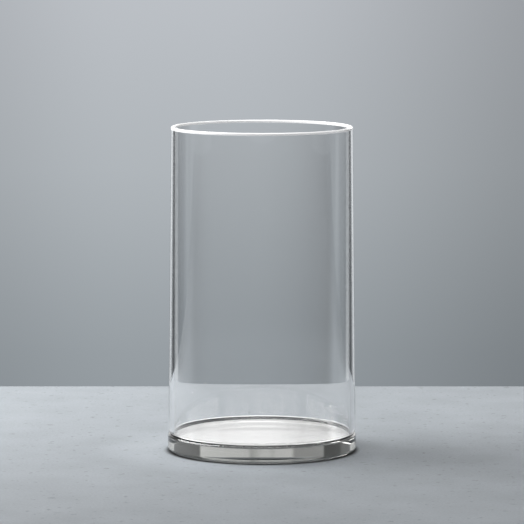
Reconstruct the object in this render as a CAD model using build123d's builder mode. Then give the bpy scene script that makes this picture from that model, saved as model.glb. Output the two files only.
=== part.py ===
"""Clear glass cylinder vase for cut flowers, in millimetres.

A slightly tapered glass sleeve with a fire-polished rim stands on a heavy pressed glass base, and a ring
of clear cured resin bonds the two. The origin is the centre of the foot, on the table, with +Z up.
"""

from build123d import *

import os

# Overall size
height = 178.0
foot_diameter = 103.0  # the sleeve's outside, projected down to the table
mouth_diameter = 99.2  # the sleeve's outside, projected up to the rim

# Sleeve
wall_at_rim = 2.0
wall_at_bottom = 3.0
rim_radius = 0.9  # fire-polishing rounds both edges of the rim
sleeve_edge_radius = 1.2  # the outer edge of the sleeve's bottom

# Base
base_diameter = 103.4
floor_height = 10.0  # the inner floor, above the table
base_shoulder_radius = 1.8  # the base's upper outer edge
base_edge_radius = 2.6  # the base's lower outer edge
foot_ring_width = 5.0  # the flat ring that touches the table
underside_rise = 0.4  # how far the underside domes up inside the foot ring

# Bond
bond_film = 0.2
bond_fillet = 1.2  # the resin that fills the inner corner

sleeve_bottom = floor_height + bond_film
film_radius = base_diameter / 2 - base_shoulder_radius
fillet_top = floor_height + bond_fillet
ring_outer_radius = base_diameter / 2 - base_edge_radius
ring_inner_radius = ring_outer_radius - foot_ring_width


def outer_radius(z):
    """Radius of the sleeve's outside at height z."""
    return (foot_diameter + (mouth_diameter - foot_diameter) * z / height) / 2


def inner_radius(z):
    """Radius of the sleeve's inside at height z: the wall thickens steadily from the rim down."""
    share = (height - z) / (height - sleeve_bottom)
    return outer_radius(z) - wall_at_rim - (wall_at_bottom - wall_at_rim) * share


# Sleeve: a tapered tube with a rounded rim
with BuildPart() as cylinder_wall:
    with BuildSketch(Plane.XZ) as wall_section:
        with BuildLine():
            Polyline(
                (outer_radius(sleeve_bottom), sleeve_bottom),
                (outer_radius(height), height),
                (inner_radius(height), height),
                (inner_radius(sleeve_bottom), sleeve_bottom),
                close=True,
            )
        make_face()
        by_height = wall_section.vertices().sort_by(Axis.Y)
        fillet(by_height[-2:], rim_radius)
        fillet(by_height[:2].sort_by(Axis.X)[-1], sleeve_edge_radius)
    revolve(axis=Axis.Z)

# Base: a thick disc with rounded edges, a flat foot ring and a shallow dome under the middle
with BuildPart() as base_disc:
    with BuildSketch(Plane.XZ) as base_section:
        with BuildLine():
            floor = Line((0, floor_height), (base_diameter / 2, floor_height))
            side = Line(floor @ 1, (base_diameter / 2, 0))
            ring = Line(side @ 1, (ring_inner_radius, 0))
            dome = TangentArc((0, underside_rise), ring @ 1, tangent=(1, 0))
            Line(dome @ 0, floor @ 0)
        make_face()
        outer_corners = base_section.vertices().sort_by(Axis.X)[-2:].sort_by(Axis.Y)
        fillet(outer_corners[0], base_edge_radius)
        fillet(outer_corners[1], base_shoulder_radius)
    revolve(axis=Axis.Z)

# Bond: a film under the sleeve and a fillet in the inner corner
with BuildPart() as bond_ring:
    with BuildSketch(Plane.XZ) as bond_section:
        with BuildLine():
            crest = (inner_radius(fillet_top), fillet_top)
            toe = (crest[0] - bond_fillet, floor_height)
            Polyline(
                crest,
                (inner_radius(sleeve_bottom), sleeve_bottom),
                (film_radius, sleeve_bottom),
                (film_radius, floor_height),
                toe,
            )
            RadiusArc(toe, crest, -bond_fillet)
        make_face()
    revolve(axis=Axis.Z)

os.makedirs("parts", exist_ok=True)
for piece, name in ((cylinder_wall, "cylinder_wall"), (base_disc, "base_disc"), (bond_ring, "bond_ring")):
    piece.part.label = name
    export_step(piece.part, f"parts/{name}.step")
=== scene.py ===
"""A clear glass cylinder vase on a pale table, in metres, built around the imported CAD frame."""

from math import acos, atan2, ceil, cos, pi, radians, sin, tan

import bmesh
import bpy
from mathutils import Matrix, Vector

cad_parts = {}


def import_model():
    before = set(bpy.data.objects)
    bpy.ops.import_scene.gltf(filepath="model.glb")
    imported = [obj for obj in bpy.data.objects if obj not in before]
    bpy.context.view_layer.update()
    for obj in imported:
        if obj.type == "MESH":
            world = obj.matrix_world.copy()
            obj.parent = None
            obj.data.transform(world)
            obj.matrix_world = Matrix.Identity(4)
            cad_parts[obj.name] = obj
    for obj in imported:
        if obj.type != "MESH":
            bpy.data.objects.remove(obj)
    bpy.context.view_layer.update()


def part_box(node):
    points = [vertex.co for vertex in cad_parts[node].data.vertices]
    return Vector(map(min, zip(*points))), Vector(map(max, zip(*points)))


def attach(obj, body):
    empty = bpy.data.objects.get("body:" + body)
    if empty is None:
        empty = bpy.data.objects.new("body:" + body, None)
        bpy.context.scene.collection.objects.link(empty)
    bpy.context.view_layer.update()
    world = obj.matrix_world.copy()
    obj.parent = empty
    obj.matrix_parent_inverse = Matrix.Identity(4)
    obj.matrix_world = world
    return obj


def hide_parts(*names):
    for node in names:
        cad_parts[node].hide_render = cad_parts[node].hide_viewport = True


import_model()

MM = 0.001

# The design's own sizes, as in the CAD
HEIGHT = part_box("cylinder_wall")[1].z
SLEEVE_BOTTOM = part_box("cylinder_wall")[0].z
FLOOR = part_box("base_disc")[1].z
BASE_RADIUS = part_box("base_disc")[1].x
FOOT_RADIUS = 51.5 * MM
MOUTH_RADIUS = 49.6 * MM
WALL_AT_RIM = 2.0 * MM
WALL_AT_BOTTOM = 3.0 * MM
RIM_ROUND = 0.9 * MM
RIM_HAZE = 1.5 * MM  # how far down the fire-polished rim is hazy
SLEEVE_EDGE_ROUND = 1.2 * MM
BASE_SHOULDER_ROUND = 1.8 * MM
BASE_EDGE_ROUND = 2.6 * MM
FOOT_RING_WIDTH = 5.0 * MM
UNDERSIDE_RISE = 0.4 * MM
BOND_FILLET = 1.2 * MM
BOND_GAP = 0.01 * MM  # bonded faces stay this far apart, so that no two lie in one place
FILM_RADIUS = BASE_RADIUS - BASE_SHOULDER_ROUND
FILLET_TOP = FLOOR + BOND_FILLET

# How finely the bodies are cut
SEGMENTS = 384
SLEEVE_EDGE_POINTS = 8
RIM_POINTS = 14
SHOULDER_POINTS = 12
BASE_EDGE_POINTS = 20
DOME_POINTS = 32
FILLET_POINTS = 16
OUTER_WALL_STEP = 3 * MM
INNER_WALL_STEP = 2 * MM
FLOOR_START = 8 * MM  # the floor's first ring round the middle point
FLOOR_STEP = 6 * MM
BASE_SIDE_STEP = 2 * MM
BONDED_STEP = 3 * MM
ON_AXIS = 1e-7  # a point closer to the axis than this is on it
SHARP_ANGLE = 32  # degrees between faces above which the shading breaks


def outer_radius(z):
    """Radius of the sleeve's outside at height z."""
    return FOOT_RADIUS + (MOUTH_RADIUS - FOOT_RADIUS) * z / HEIGHT


def inner_radius(z):
    """Radius of the sleeve's inside at height z."""
    share = (HEIGHT - z) / (HEIGHT - SLEEVE_BOTTOM)
    return outer_radius(z) - WALL_AT_RIM - (WALL_AT_BOTTOM - WALL_AT_RIM) * share


# Sections: lists of points (radius, height)


def run(start, end, step):
    """Points from start up to, but not including, end, no more than step apart."""
    a = Vector(start)
    b = Vector(end)
    count = max(1, ceil((b - a).length / step))
    return [a.lerp(b, i / count) for i in range(count)]


def tangent_arc(start, direction, end, count):
    """Points of the arc that leaves start along direction and reaches end, which is left out."""
    a = Vector(start)
    chord = Vector(end) - a
    along = Vector(direction).normalized()
    across = Vector((-along.y, along.x))
    if chord.dot(across) < 0:
        across = -across
    half = atan2(chord.dot(across), chord.dot(along))
    radius = chord.length / (2 * sin(half))
    centre = a + across * radius
    turns = [2 * half * i / count for i in range(count)]
    return [centre + along * (radius * sin(t)) - across * (radius * cos(t)) for t in turns]


def rounded_corner(before, corner, after, radius, count):
    """Points of the arc of that radius that rounds off a corner, both ends included."""
    c = Vector(corner)
    u = (Vector(before) - c).normalized()
    v = (Vector(after) - c).normalized()
    half = acos(max(-1, min(1, u.dot(v)))) / 2
    reach = radius / tan(half)
    start = c + u * reach
    end = c + v * reach
    return tangent_arc(start, -u, end, count) + [end]


def lathe(name, section, materials, slots):
    """A closed body turned from its section about Z. slots gives each face ring its material."""
    mesh = bpy.data.meshes.new(name)
    bm = bmesh.new()
    rings = []
    for r, z in section:
        if r < ON_AXIS:
            rings.append([bm.verts.new((0, 0, z))])
            continue
        rings.append([
            bm.verts.new((r * cos(2 * pi * i / SEGMENTS), r * sin(2 * pi * i / SEGMENTS), z))
            for i in range(SEGMENTS)
        ])
    for k, ring in enumerate(rings):
        following = rings[(k + 1) % len(rings)]
        if len(ring) == 1 and len(following) == 1:
            continue
        for i in range(SEGMENTS):
            j = (i + 1) % SEGMENTS
            corners = [ring[i % len(ring)], ring[j % len(ring)]]
            corners += [following[j % len(following)], following[i % len(following)]]
            corners = list(dict.fromkeys(corners))
            face = bm.faces.new(corners)
            face.smooth = True
            face.material_index = slots[k]
    bmesh.ops.recalc_face_normals(bm, faces=bm.faces)
    bm.to_mesh(mesh)
    bm.free()
    mesh.set_sharp_from_angle(angle=radians(SHARP_ANGLE))
    piece = bpy.data.objects.new(name, mesh)
    bpy.context.scene.collection.objects.link(piece)
    for material in materials:
        mesh.materials.append(material)
    return piece


# Nodes


class Numbers:
    """Nodes of one tree that work out numbers."""

    def __init__(self, tree):
        self.nodes = tree.nodes
        self.links = tree.links

    def feed(self, socket, value):
        """Give a socket a plain value, or another node's output."""
        if isinstance(value, (int, float, tuple)):
            socket.default_value = value
        else:
            self.links.new(value, socket)

    def calc(self, operation, *values):
        node = self.nodes.new("ShaderNodeMath")
        node.operation = operation
        for socket, value in zip(node.inputs, values):
            self.feed(socket, value)
        return node.outputs[0]

    def product(self, total, *factors):
        for factor in factors:
            total = self.calc("MULTIPLY", total, factor)
        return total

    def remap(self, value, span, levels, kind="SMOOTHSTEP"):
        """levels[0] before the span, levels[1] after it, and a blend within it."""
        node = self.nodes.new("ShaderNodeMapRange")
        node.interpolation_type = kind
        self.feed(node.inputs["Value"], value)
        for name, number in zip(("From Min", "From Max", "To Min", "To Max"), (*span, *levels)):
            node.inputs[name].default_value = number
        return node.outputs["Result"]

    def parts(self, vector):
        """The X, Y and Z of a vector."""
        node = self.nodes.new("ShaderNodeSeparateXYZ")
        self.feed(node.inputs[0], vector)
        return node.outputs

    def scaled(self, colour, factor):
        node = self.nodes.new("ShaderNodeVectorMath")
        node.operation = "SCALE"
        self.feed(node.inputs[0], colour)
        self.feed(node.inputs["Scale"], factor)
        return node.outputs[0]


# Materials

GLASS_COLOUR = (0.800, 0.802, 0.797, 1)
WALL_DENSITY = 8
BASE_DENSITY = 67
RIM_ROUGHNESS = 0.12
RIM_CLEAR = 0.4
BONDED_IOR = 1.0  # bonded faces don't bend light, as the resin has the index of the glass


def glass(name, density, ior=1.5, roughness=0.0, clear=1.0):
    """Clear glass: density is how fast it greys with depth, clear is the share that isn't frosted."""
    material = bpy.data.materials.new(name)
    material.use_nodes = True
    nodes = material.node_tree.nodes
    shader = nodes["Principled BSDF"]
    shader.inputs["Base Color"].default_value = (1, 1, 1, 1)
    shader.inputs["Roughness"].default_value = roughness
    shader.inputs["Transmission Weight"].default_value = clear
    shader.inputs["IOR"].default_value = ior
    absorb = nodes.new("ShaderNodeVolumeAbsorption")
    absorb.inputs["Color"].default_value = GLASS_COLOUR
    absorb.inputs["Density"].default_value = density
    material.node_tree.links.new(absorb.outputs["Volume"], nodes["Material Output"].inputs["Volume"])
    return material


wall_glass = glass("wall_glass", WALL_DENSITY)
rim_glass = glass("rim_glass", WALL_DENSITY, roughness=RIM_ROUGHNESS, clear=RIM_CLEAR)
base_glass = glass("base_glass", BASE_DENSITY)
resin = glass("clear_bond", WALL_DENSITY)
wall_bonded = glass("wall_bonded_face", WALL_DENSITY, ior=BONDED_IOR)
base_bonded = glass("base_bonded_face", BASE_DENSITY, ior=BONDED_IOR)
resin_bonded = glass("bond_face", WALL_DENSITY, ior=BONDED_IOR)


# Pieces


# Material slots: faces in the air, faces against the next piece, and the hazy rim
FREE = 0
BONDED = 1
RIM = 2


def turned(name, stretches, materials):
    """A lathe body from stretches of points, each with the slot of the faces that leave its points."""
    section = [point for points, slot in stretches for point in points]
    slots = [slot for points, slot in stretches for point in points]
    return lathe(name, section, materials, slots)


def wall_piece():
    bottom_out = (outer_radius(SLEEVE_BOTTOM), SLEEVE_BOTTOM)
    bottom_in = (inner_radius(SLEEVE_BOTTOM), SLEEVE_BOTTOM)
    top_out = (outer_radius(HEIGHT), HEIGHT)
    top_in = (inner_radius(HEIGHT), HEIGHT)
    film_end = (FILM_RADIUS, SLEEVE_BOTTOM)
    fillet_end = (inner_radius(FILLET_TOP), FILLET_TOP)
    haze_end = HEIGHT - RIM_HAZE
    haze_out = (outer_radius(haze_end), haze_end)
    haze_in = (inner_radius(haze_end), haze_end)
    lower_round = rounded_corner(bottom_in, bottom_out, top_out, SLEEVE_EDGE_ROUND, SLEEVE_EDGE_POINTS)
    outer_round = rounded_corner(bottom_out, top_out, top_in, RIM_ROUND, RIM_POINTS)
    inner_round = rounded_corner(top_out, top_in, bottom_in, RIM_ROUND, RIM_POINTS)
    return turned("glass_wall", (
        (lower_round[:-1] + run(lower_round[-1], haze_out, OUTER_WALL_STEP), FREE),
        ([Vector(haze_out)] + outer_round + inner_round, RIM),
        (run(haze_in, fillet_end, INNER_WALL_STEP), FREE),
        ([Vector(fillet_end), Vector(bottom_in)], BONDED),
        ([Vector(film_end)], FREE),
    ), [wall_glass, wall_bonded, rim_glass])


def base_piece():
    toe = (inner_radius(FILLET_TOP) - BOND_FILLET, FLOOR)
    film_end = (FILM_RADIUS, FLOOR)
    shoulder = (BASE_RADIUS, FLOOR)
    corner = (BASE_RADIUS, 0)
    ring_in = (BASE_RADIUS - BASE_EDGE_ROUND - FOOT_RING_WIDTH, 0)
    middle = (0, UNDERSIDE_RISE)
    upper_round = rounded_corner(toe, shoulder, corner, BASE_SHOULDER_ROUND, SHOULDER_POINTS)
    lower_round = rounded_corner(shoulder, corner, ring_in, BASE_EDGE_ROUND, BASE_EDGE_POINTS)
    side = run(upper_round[-1], lower_round[0], BASE_SIDE_STEP)
    dome = tangent_arc(middle, (1, 0), ring_in, DOME_POINTS) + [Vector(ring_in)]
    return turned("glass_base", (
        ([Vector((0, FLOOR))] + run((FLOOR_START, FLOOR), toe, FLOOR_STEP), FREE),
        (run(toe, film_end, BONDED_STEP), BONDED),
        (upper_round[:-1] + side + lower_round, FREE),
        (dome[::-1], FREE),
    ), [base_glass, base_bonded])


def bond_piece():
    low = FLOOR + BOND_GAP
    high = SLEEVE_BOTTOM - BOND_GAP
    crest = (inner_radius(FILLET_TOP) - BOND_GAP, FILLET_TOP)
    toe = (inner_radius(FILLET_TOP) - BOND_FILLET, low)
    return turned("bond_fillet", (
        ([Vector(toe)], BONDED),
        ([Vector((FILM_RADIUS, low))], FREE),
        ([Vector((FILM_RADIUS, high)), Vector((inner_radius(high) - BOND_GAP, high))], BONDED),
        (tangent_arc(crest, (0, -1), toe, FILLET_POINTS), FREE),
    ), [resin, resin_bonded])


for piece, node, slot in (
    (wall_piece(), "cylinder_wall", "wall_glass"),
    (base_piece(), "base_disc", "base_glass"),
    (bond_piece(), "bond_ring", "clear_bond"),
):
    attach(piece, "root")
    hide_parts(node)


# Table

TABLE_BACK = 1.36 * HEIGHT
TABLE_SIDE = 2.5
TABLE_FRONT = 3.0
TABLE_DROP = 0.02 * MM  # so that the foot ring and the table aren't in one plane
TABLE_THICKNESS = 0.03
TABLE_COLOUR = (0.190, 0.206, 0.220)
TABLE_ROUGHNESS = 0.8
TABLE_SPECULAR = 0.25

# Noise in the table: its scale and detail, the span of noise that counts, and the shades at the span's ends
CLOUDS = (30, 8, (0.3, 0.7), (0.94, 1.06))
GRAIN = (700, 4, (0.35, 0.65), (0.94, 1.06))
PITS = (210, 3, (0.30, 0.37), (0.70, 1.0))

# Painted light and shade in the table's colour: a span in metres, and the shades at its ends
# painted shade: the table darker towards the front, where the light falls off
PAINTED_FALLOFF_TO_FRONT = ((-0.35, 0.22), (0.62, 1.0))  # along Y
# painted shadow: the table dark close to the foot, as in the gap under the foot's round
PAINTED_CONTACT_SHADOW = ((FOOT_RADIUS - 1 * MM, FOOT_RADIUS + 3 * MM), (0.03, 1.0))  # dark close to the foot
# painted light: the table brighter round the vase, for light that the glass throws
PAINTED_THROWN_LIGHT = ((0.055, 0.10), (1.25, 1.0))  # light that the glass throws round itself
# painted light: the table's colour dims outside a pool of light round the vase
PAINTED_POOL_EDGE = ((0.28, 0.40), (1.0, 0.35))  # the edge of the pool of light round the vase


def table_material():
    """Pale honed concrete: a slightly clouded grey with a few small pits, with painted light and shade in its
    colour: darker towards the front, a painted shadow at the foot, painted light round the vase and the edge
    of a painted pool of light.
    """
    material = bpy.data.materials.new("table")
    material.use_nodes = True
    tree = material.node_tree
    numbers = Numbers(tree)
    shader = tree.nodes["Principled BSDF"]
    shader.inputs["Roughness"].default_value = TABLE_ROUGHNESS
    shader.inputs["Specular IOR Level"].default_value = TABLE_SPECULAR
    place = tree.nodes.new("ShaderNodeTexCoord").outputs["Object"]

    def noise(scale, detail, span, shades):
        node = tree.nodes.new("ShaderNodeTexNoise")
        node.inputs["Scale"].default_value = scale
        node.inputs["Detail"].default_value = detail
        tree.links.new(place, node.inputs["Vector"])
        return numbers.remap(node.outputs["Fac"], span, shades, "LINEAR")

    x, y = numbers.parts(place)[:2]
    across = numbers.calc("ADD", numbers.calc("MULTIPLY", x, x), numbers.calc("MULTIPLY", y, y))
    reach = numbers.calc("SQRT", across)
    # the three noises are the concrete's own tone; the four remaps after them are painted light and shade
    tone_and_painted_light = numbers.product(
        noise(*CLOUDS),
        noise(*GRAIN),
        noise(*PITS),
        numbers.remap(y, *PAINTED_FALLOFF_TO_FRONT),
        numbers.remap(reach, *PAINTED_CONTACT_SHADOW),
        numbers.remap(reach, *PAINTED_POOL_EDGE),
        numbers.remap(reach, *PAINTED_THROWN_LIGHT),
    )
    tree.links.new(numbers.scaled(TABLE_COLOUR, tone_and_painted_light), shader.inputs["Base Color"])
    return material


def table_piece():
    """A slab whose top is just under the foot."""
    mesh = bpy.data.meshes.new("table")
    bm = bmesh.new()
    bmesh.ops.create_cube(bm, size=1)
    for vertex in bm.verts:
        vertex.co.x *= 2 * TABLE_SIDE
        vertex.co.y = TABLE_BACK if vertex.co.y > 0 else -TABLE_FRONT
        vertex.co.z = -TABLE_DROP if vertex.co.z > 0 else -TABLE_THICKNESS
    bm.to_mesh(mesh)
    bm.free()
    piece = bpy.data.objects.new("table", mesh)
    bpy.context.scene.collection.objects.link(piece)
    mesh.materials.append(table_material())
    return piece


table_piece()


# World: a plain soft studio, as light by direction. Behind the vase is a grey backdrop, and the same backdrop
# stands on the other three sides, with a dark gap between each two. The cards, the glow and the flag are only
# at the back. All numbers are degrees, apart from levels of light, and a pair is where a smooth change starts
# and ends.

BACKDROP = (  # elevation and colour
    (-90, (0.20, 0.21, 0.22)),
    (-9.8, (0.26, 0.29, 0.315)),
    (-7.55, (0.315, 0.347, 0.372)),
    (-5.05, (0.43, 0.462, 0.49)),
    (-1.95, (0.51, 0.535, 0.57)),
    (2, (0.9, 0.92, 0.95)),
    (6, (1.85, 1.85, 1.85)),
    (16, (1.6, 1.6, 1.6)),
    (24, (0.65, 0.65, 0.65)),
    (55, (0.5, 0.5, 0.5)),
    (70, (3.4, 3.4, 3.4)),
    (90, (4.4, 4.4, 4.4)),
)
BACKDROPS = 4
LOWEST = (-18, -12)  # elevation where the cards and the gaps start

# Bright cards, one on each side of the back's middle
CARD_LIGHT = 0.5
CARD_INNER = (11, 17)
CARD_OUTER = (21, 23)
CARD_TOP = (0, 6)

# The dark gaps: degrees off each backdrop's middle
GAP_START = (22.5, 24.5)
GAP_TOP = (14, 30)
GAP_TURN = (0, 8)  # elevation over which the gap moves out by GAP_LEAN and changes its depth
GAP_LEAN = 6
GAP_DEPTH = (0.78, 0.75)
FRONT = (125, 135)  # degrees off the back's middle where the front starts
FRONT_GAP = 0.4  # share of the depth at the front, where the vase's back wall mirrors the gap

# The glow in the back's middle is dimmer on its left and its right
GLOW_LEFT = (-5.5, -2)
GLOW_LEFT_LEVEL = 0.8
GLOW_RIGHT = (-0.8, 6.2)
GLOW_RIGHT_LEVEL = 0.56
GLOW_EDGE = (3.8, 5.8)

# A flag dims the upper left of the back
FLAG_LEVEL = 0.5
FLAG_INNER = (-14, -11.5)
FLAG_OUTER = (43, 47)
FLAG_FOOT = (2, 6)


def direction(azimuth, elevation):
    """The unit vector to a place in the studio: azimuth runs from the back towards the right."""
    azimuth = radians(azimuth)
    elevation = radians(elevation)
    return (sin(azimuth) * cos(elevation), cos(azimuth) * cos(elevation), sin(elevation))


def backdrop_colour(tree, numbers, elevation):
    ramp = tree.nodes.new("ShaderNodeValToRGB")
    ramp.color_ramp.interpolation = "LINEAR"
    elements = ramp.color_ramp.elements
    while len(elements) < len(BACKDROP):
        elements.new(0.5)
    for element, (degrees, colour) in zip(elements, BACKDROP):
        element.position = (degrees + 90) / 180
        element.color = (*colour, 1)
    share = numbers.calc("DIVIDE", numbers.calc("ADD", elevation, 90), 180)
    tree.links.new(share, ramp.inputs["Fac"])
    return ramp.outputs["Color"]


def world():
    studio = bpy.data.worlds.new("studio")
    bpy.context.scene.world = studio
    studio.use_nodes = True
    tree = studio.node_tree
    numbers = Numbers(tree)
    calc = numbers.calc
    product = numbers.product
    remap = numbers.remap

    x, y, z = numbers.parts(tree.nodes.new("ShaderNodeTexCoord").outputs["Generated"])
    azimuth = calc("MULTIPLY", calc("ARCTAN2", x, y), 180 / pi)
    elevation = calc("MULTIPLY", calc("ARCSINE", z), 180 / pi)
    off_back = calc("ABSOLUTE", azimuth)
    sector = 360 / BACKDROPS
    shifted = calc("ADD", azimuth, sector / 2)
    off_middle = calc("ABSOLUTE", calc("SUBTRACT", calc("FLOORED_MODULO", shifted, sector), sector / 2))
    above_lowest = remap(elevation, LOWEST, (0, 1))

    card = product(
        remap(off_back, CARD_INNER, (0, 1)),
        remap(off_back, CARD_OUTER, (1, 0)),
        above_lowest,
        remap(elevation, CARD_TOP, (1, 0)),
        CARD_LIGHT,
    )

    leaned = calc("SUBTRACT", off_middle, remap(elevation, GAP_TURN, (0, GAP_LEAN)))
    gap = product(
        remap(leaned, GAP_START, (0, 1)),
        above_lowest,
        remap(elevation, GAP_TOP, (1, 0)),
        remap(off_back, FRONT, (1, FRONT_GAP)),
        remap(elevation, GAP_TURN, GAP_DEPTH),
    )

    glow = product(
        remap(azimuth, GLOW_LEFT, (GLOW_LEFT_LEVEL, 1)),
        remap(azimuth, GLOW_RIGHT, (1, GLOW_RIGHT_LEVEL)),
    )
    near_middle = remap(off_back, GLOW_EDGE, (1, 0))
    middle = calc("ADD", 1, product(calc("SUBTRACT", glow, 1), near_middle))

    flag = product(
        remap(azimuth, FLAG_INNER, (1, 0)),
        remap(off_back, FLAG_OUTER, (1, 0)),
        remap(elevation, FLAG_FOOT, (0, 1)),
        1 - FLAG_LEVEL,
    )

    level = product(calc("SUBTRACT", 1, gap), middle, calc("SUBTRACT", 1, flag))
    total = tree.nodes.new("ShaderNodeVectorMath")
    total.operation = "ADD"
    numbers.feed(total.inputs[0], numbers.scaled(backdrop_colour(tree, numbers, elevation), level))
    numbers.feed(total.inputs[1], card)
    tree.links.new(total.outputs[0], tree.nodes["Background"].inputs["Color"])


world()


# A large round light on the left

SOFTBOX_WAY = (-74, 40)  # azimuth and elevation
SOFTBOX_AWAY = 1.0
SOFTBOX_SIZE = 1.1
SOFTBOX_POWER = 23


def softbox():
    light = bpy.data.lights.new("softbox", "AREA")
    light.shape = "DISK"
    light.size = SOFTBOX_SIZE
    light.energy = SOFTBOX_POWER
    way = Vector(direction(*SOFTBOX_WAY))
    lamp = bpy.data.objects.new("softbox", light)
    bpy.context.scene.collection.objects.link(lamp)
    lamp.location = way * SOFTBOX_AWAY
    lamp.rotation_euler = way.to_track_quat("Z", "Y").to_euler()


softbox()


# Camera

CAMERA_AWAY = 11.5 * HEIGHT
CAMERA_HEIGHT = 1.86 * HEIGHT
CAMERA_PITCH = 6.34  # degrees down
CAMERA_LENS = 258.9  # millimetres

camera = bpy.data.objects.new("camera", bpy.data.cameras.new("camera"))
bpy.context.scene.collection.objects.link(camera)
camera.location = (0, -CAMERA_AWAY, CAMERA_HEIGHT)
camera.rotation_euler = (radians(90 - CAMERA_PITCH), 0, 0)
camera.data.lens = CAMERA_LENS
bpy.context.scene.camera = camera


# Light paths: enough for light to cross every wall of the vase

scene = bpy.context.scene
scene.view_settings.view_transform = "Standard"
scene.cycles.max_bounces = 32
scene.cycles.transmission_bounces = 32
scene.cycles.glossy_bounces = 16
scene.cycles.transparent_max_bounces = 32
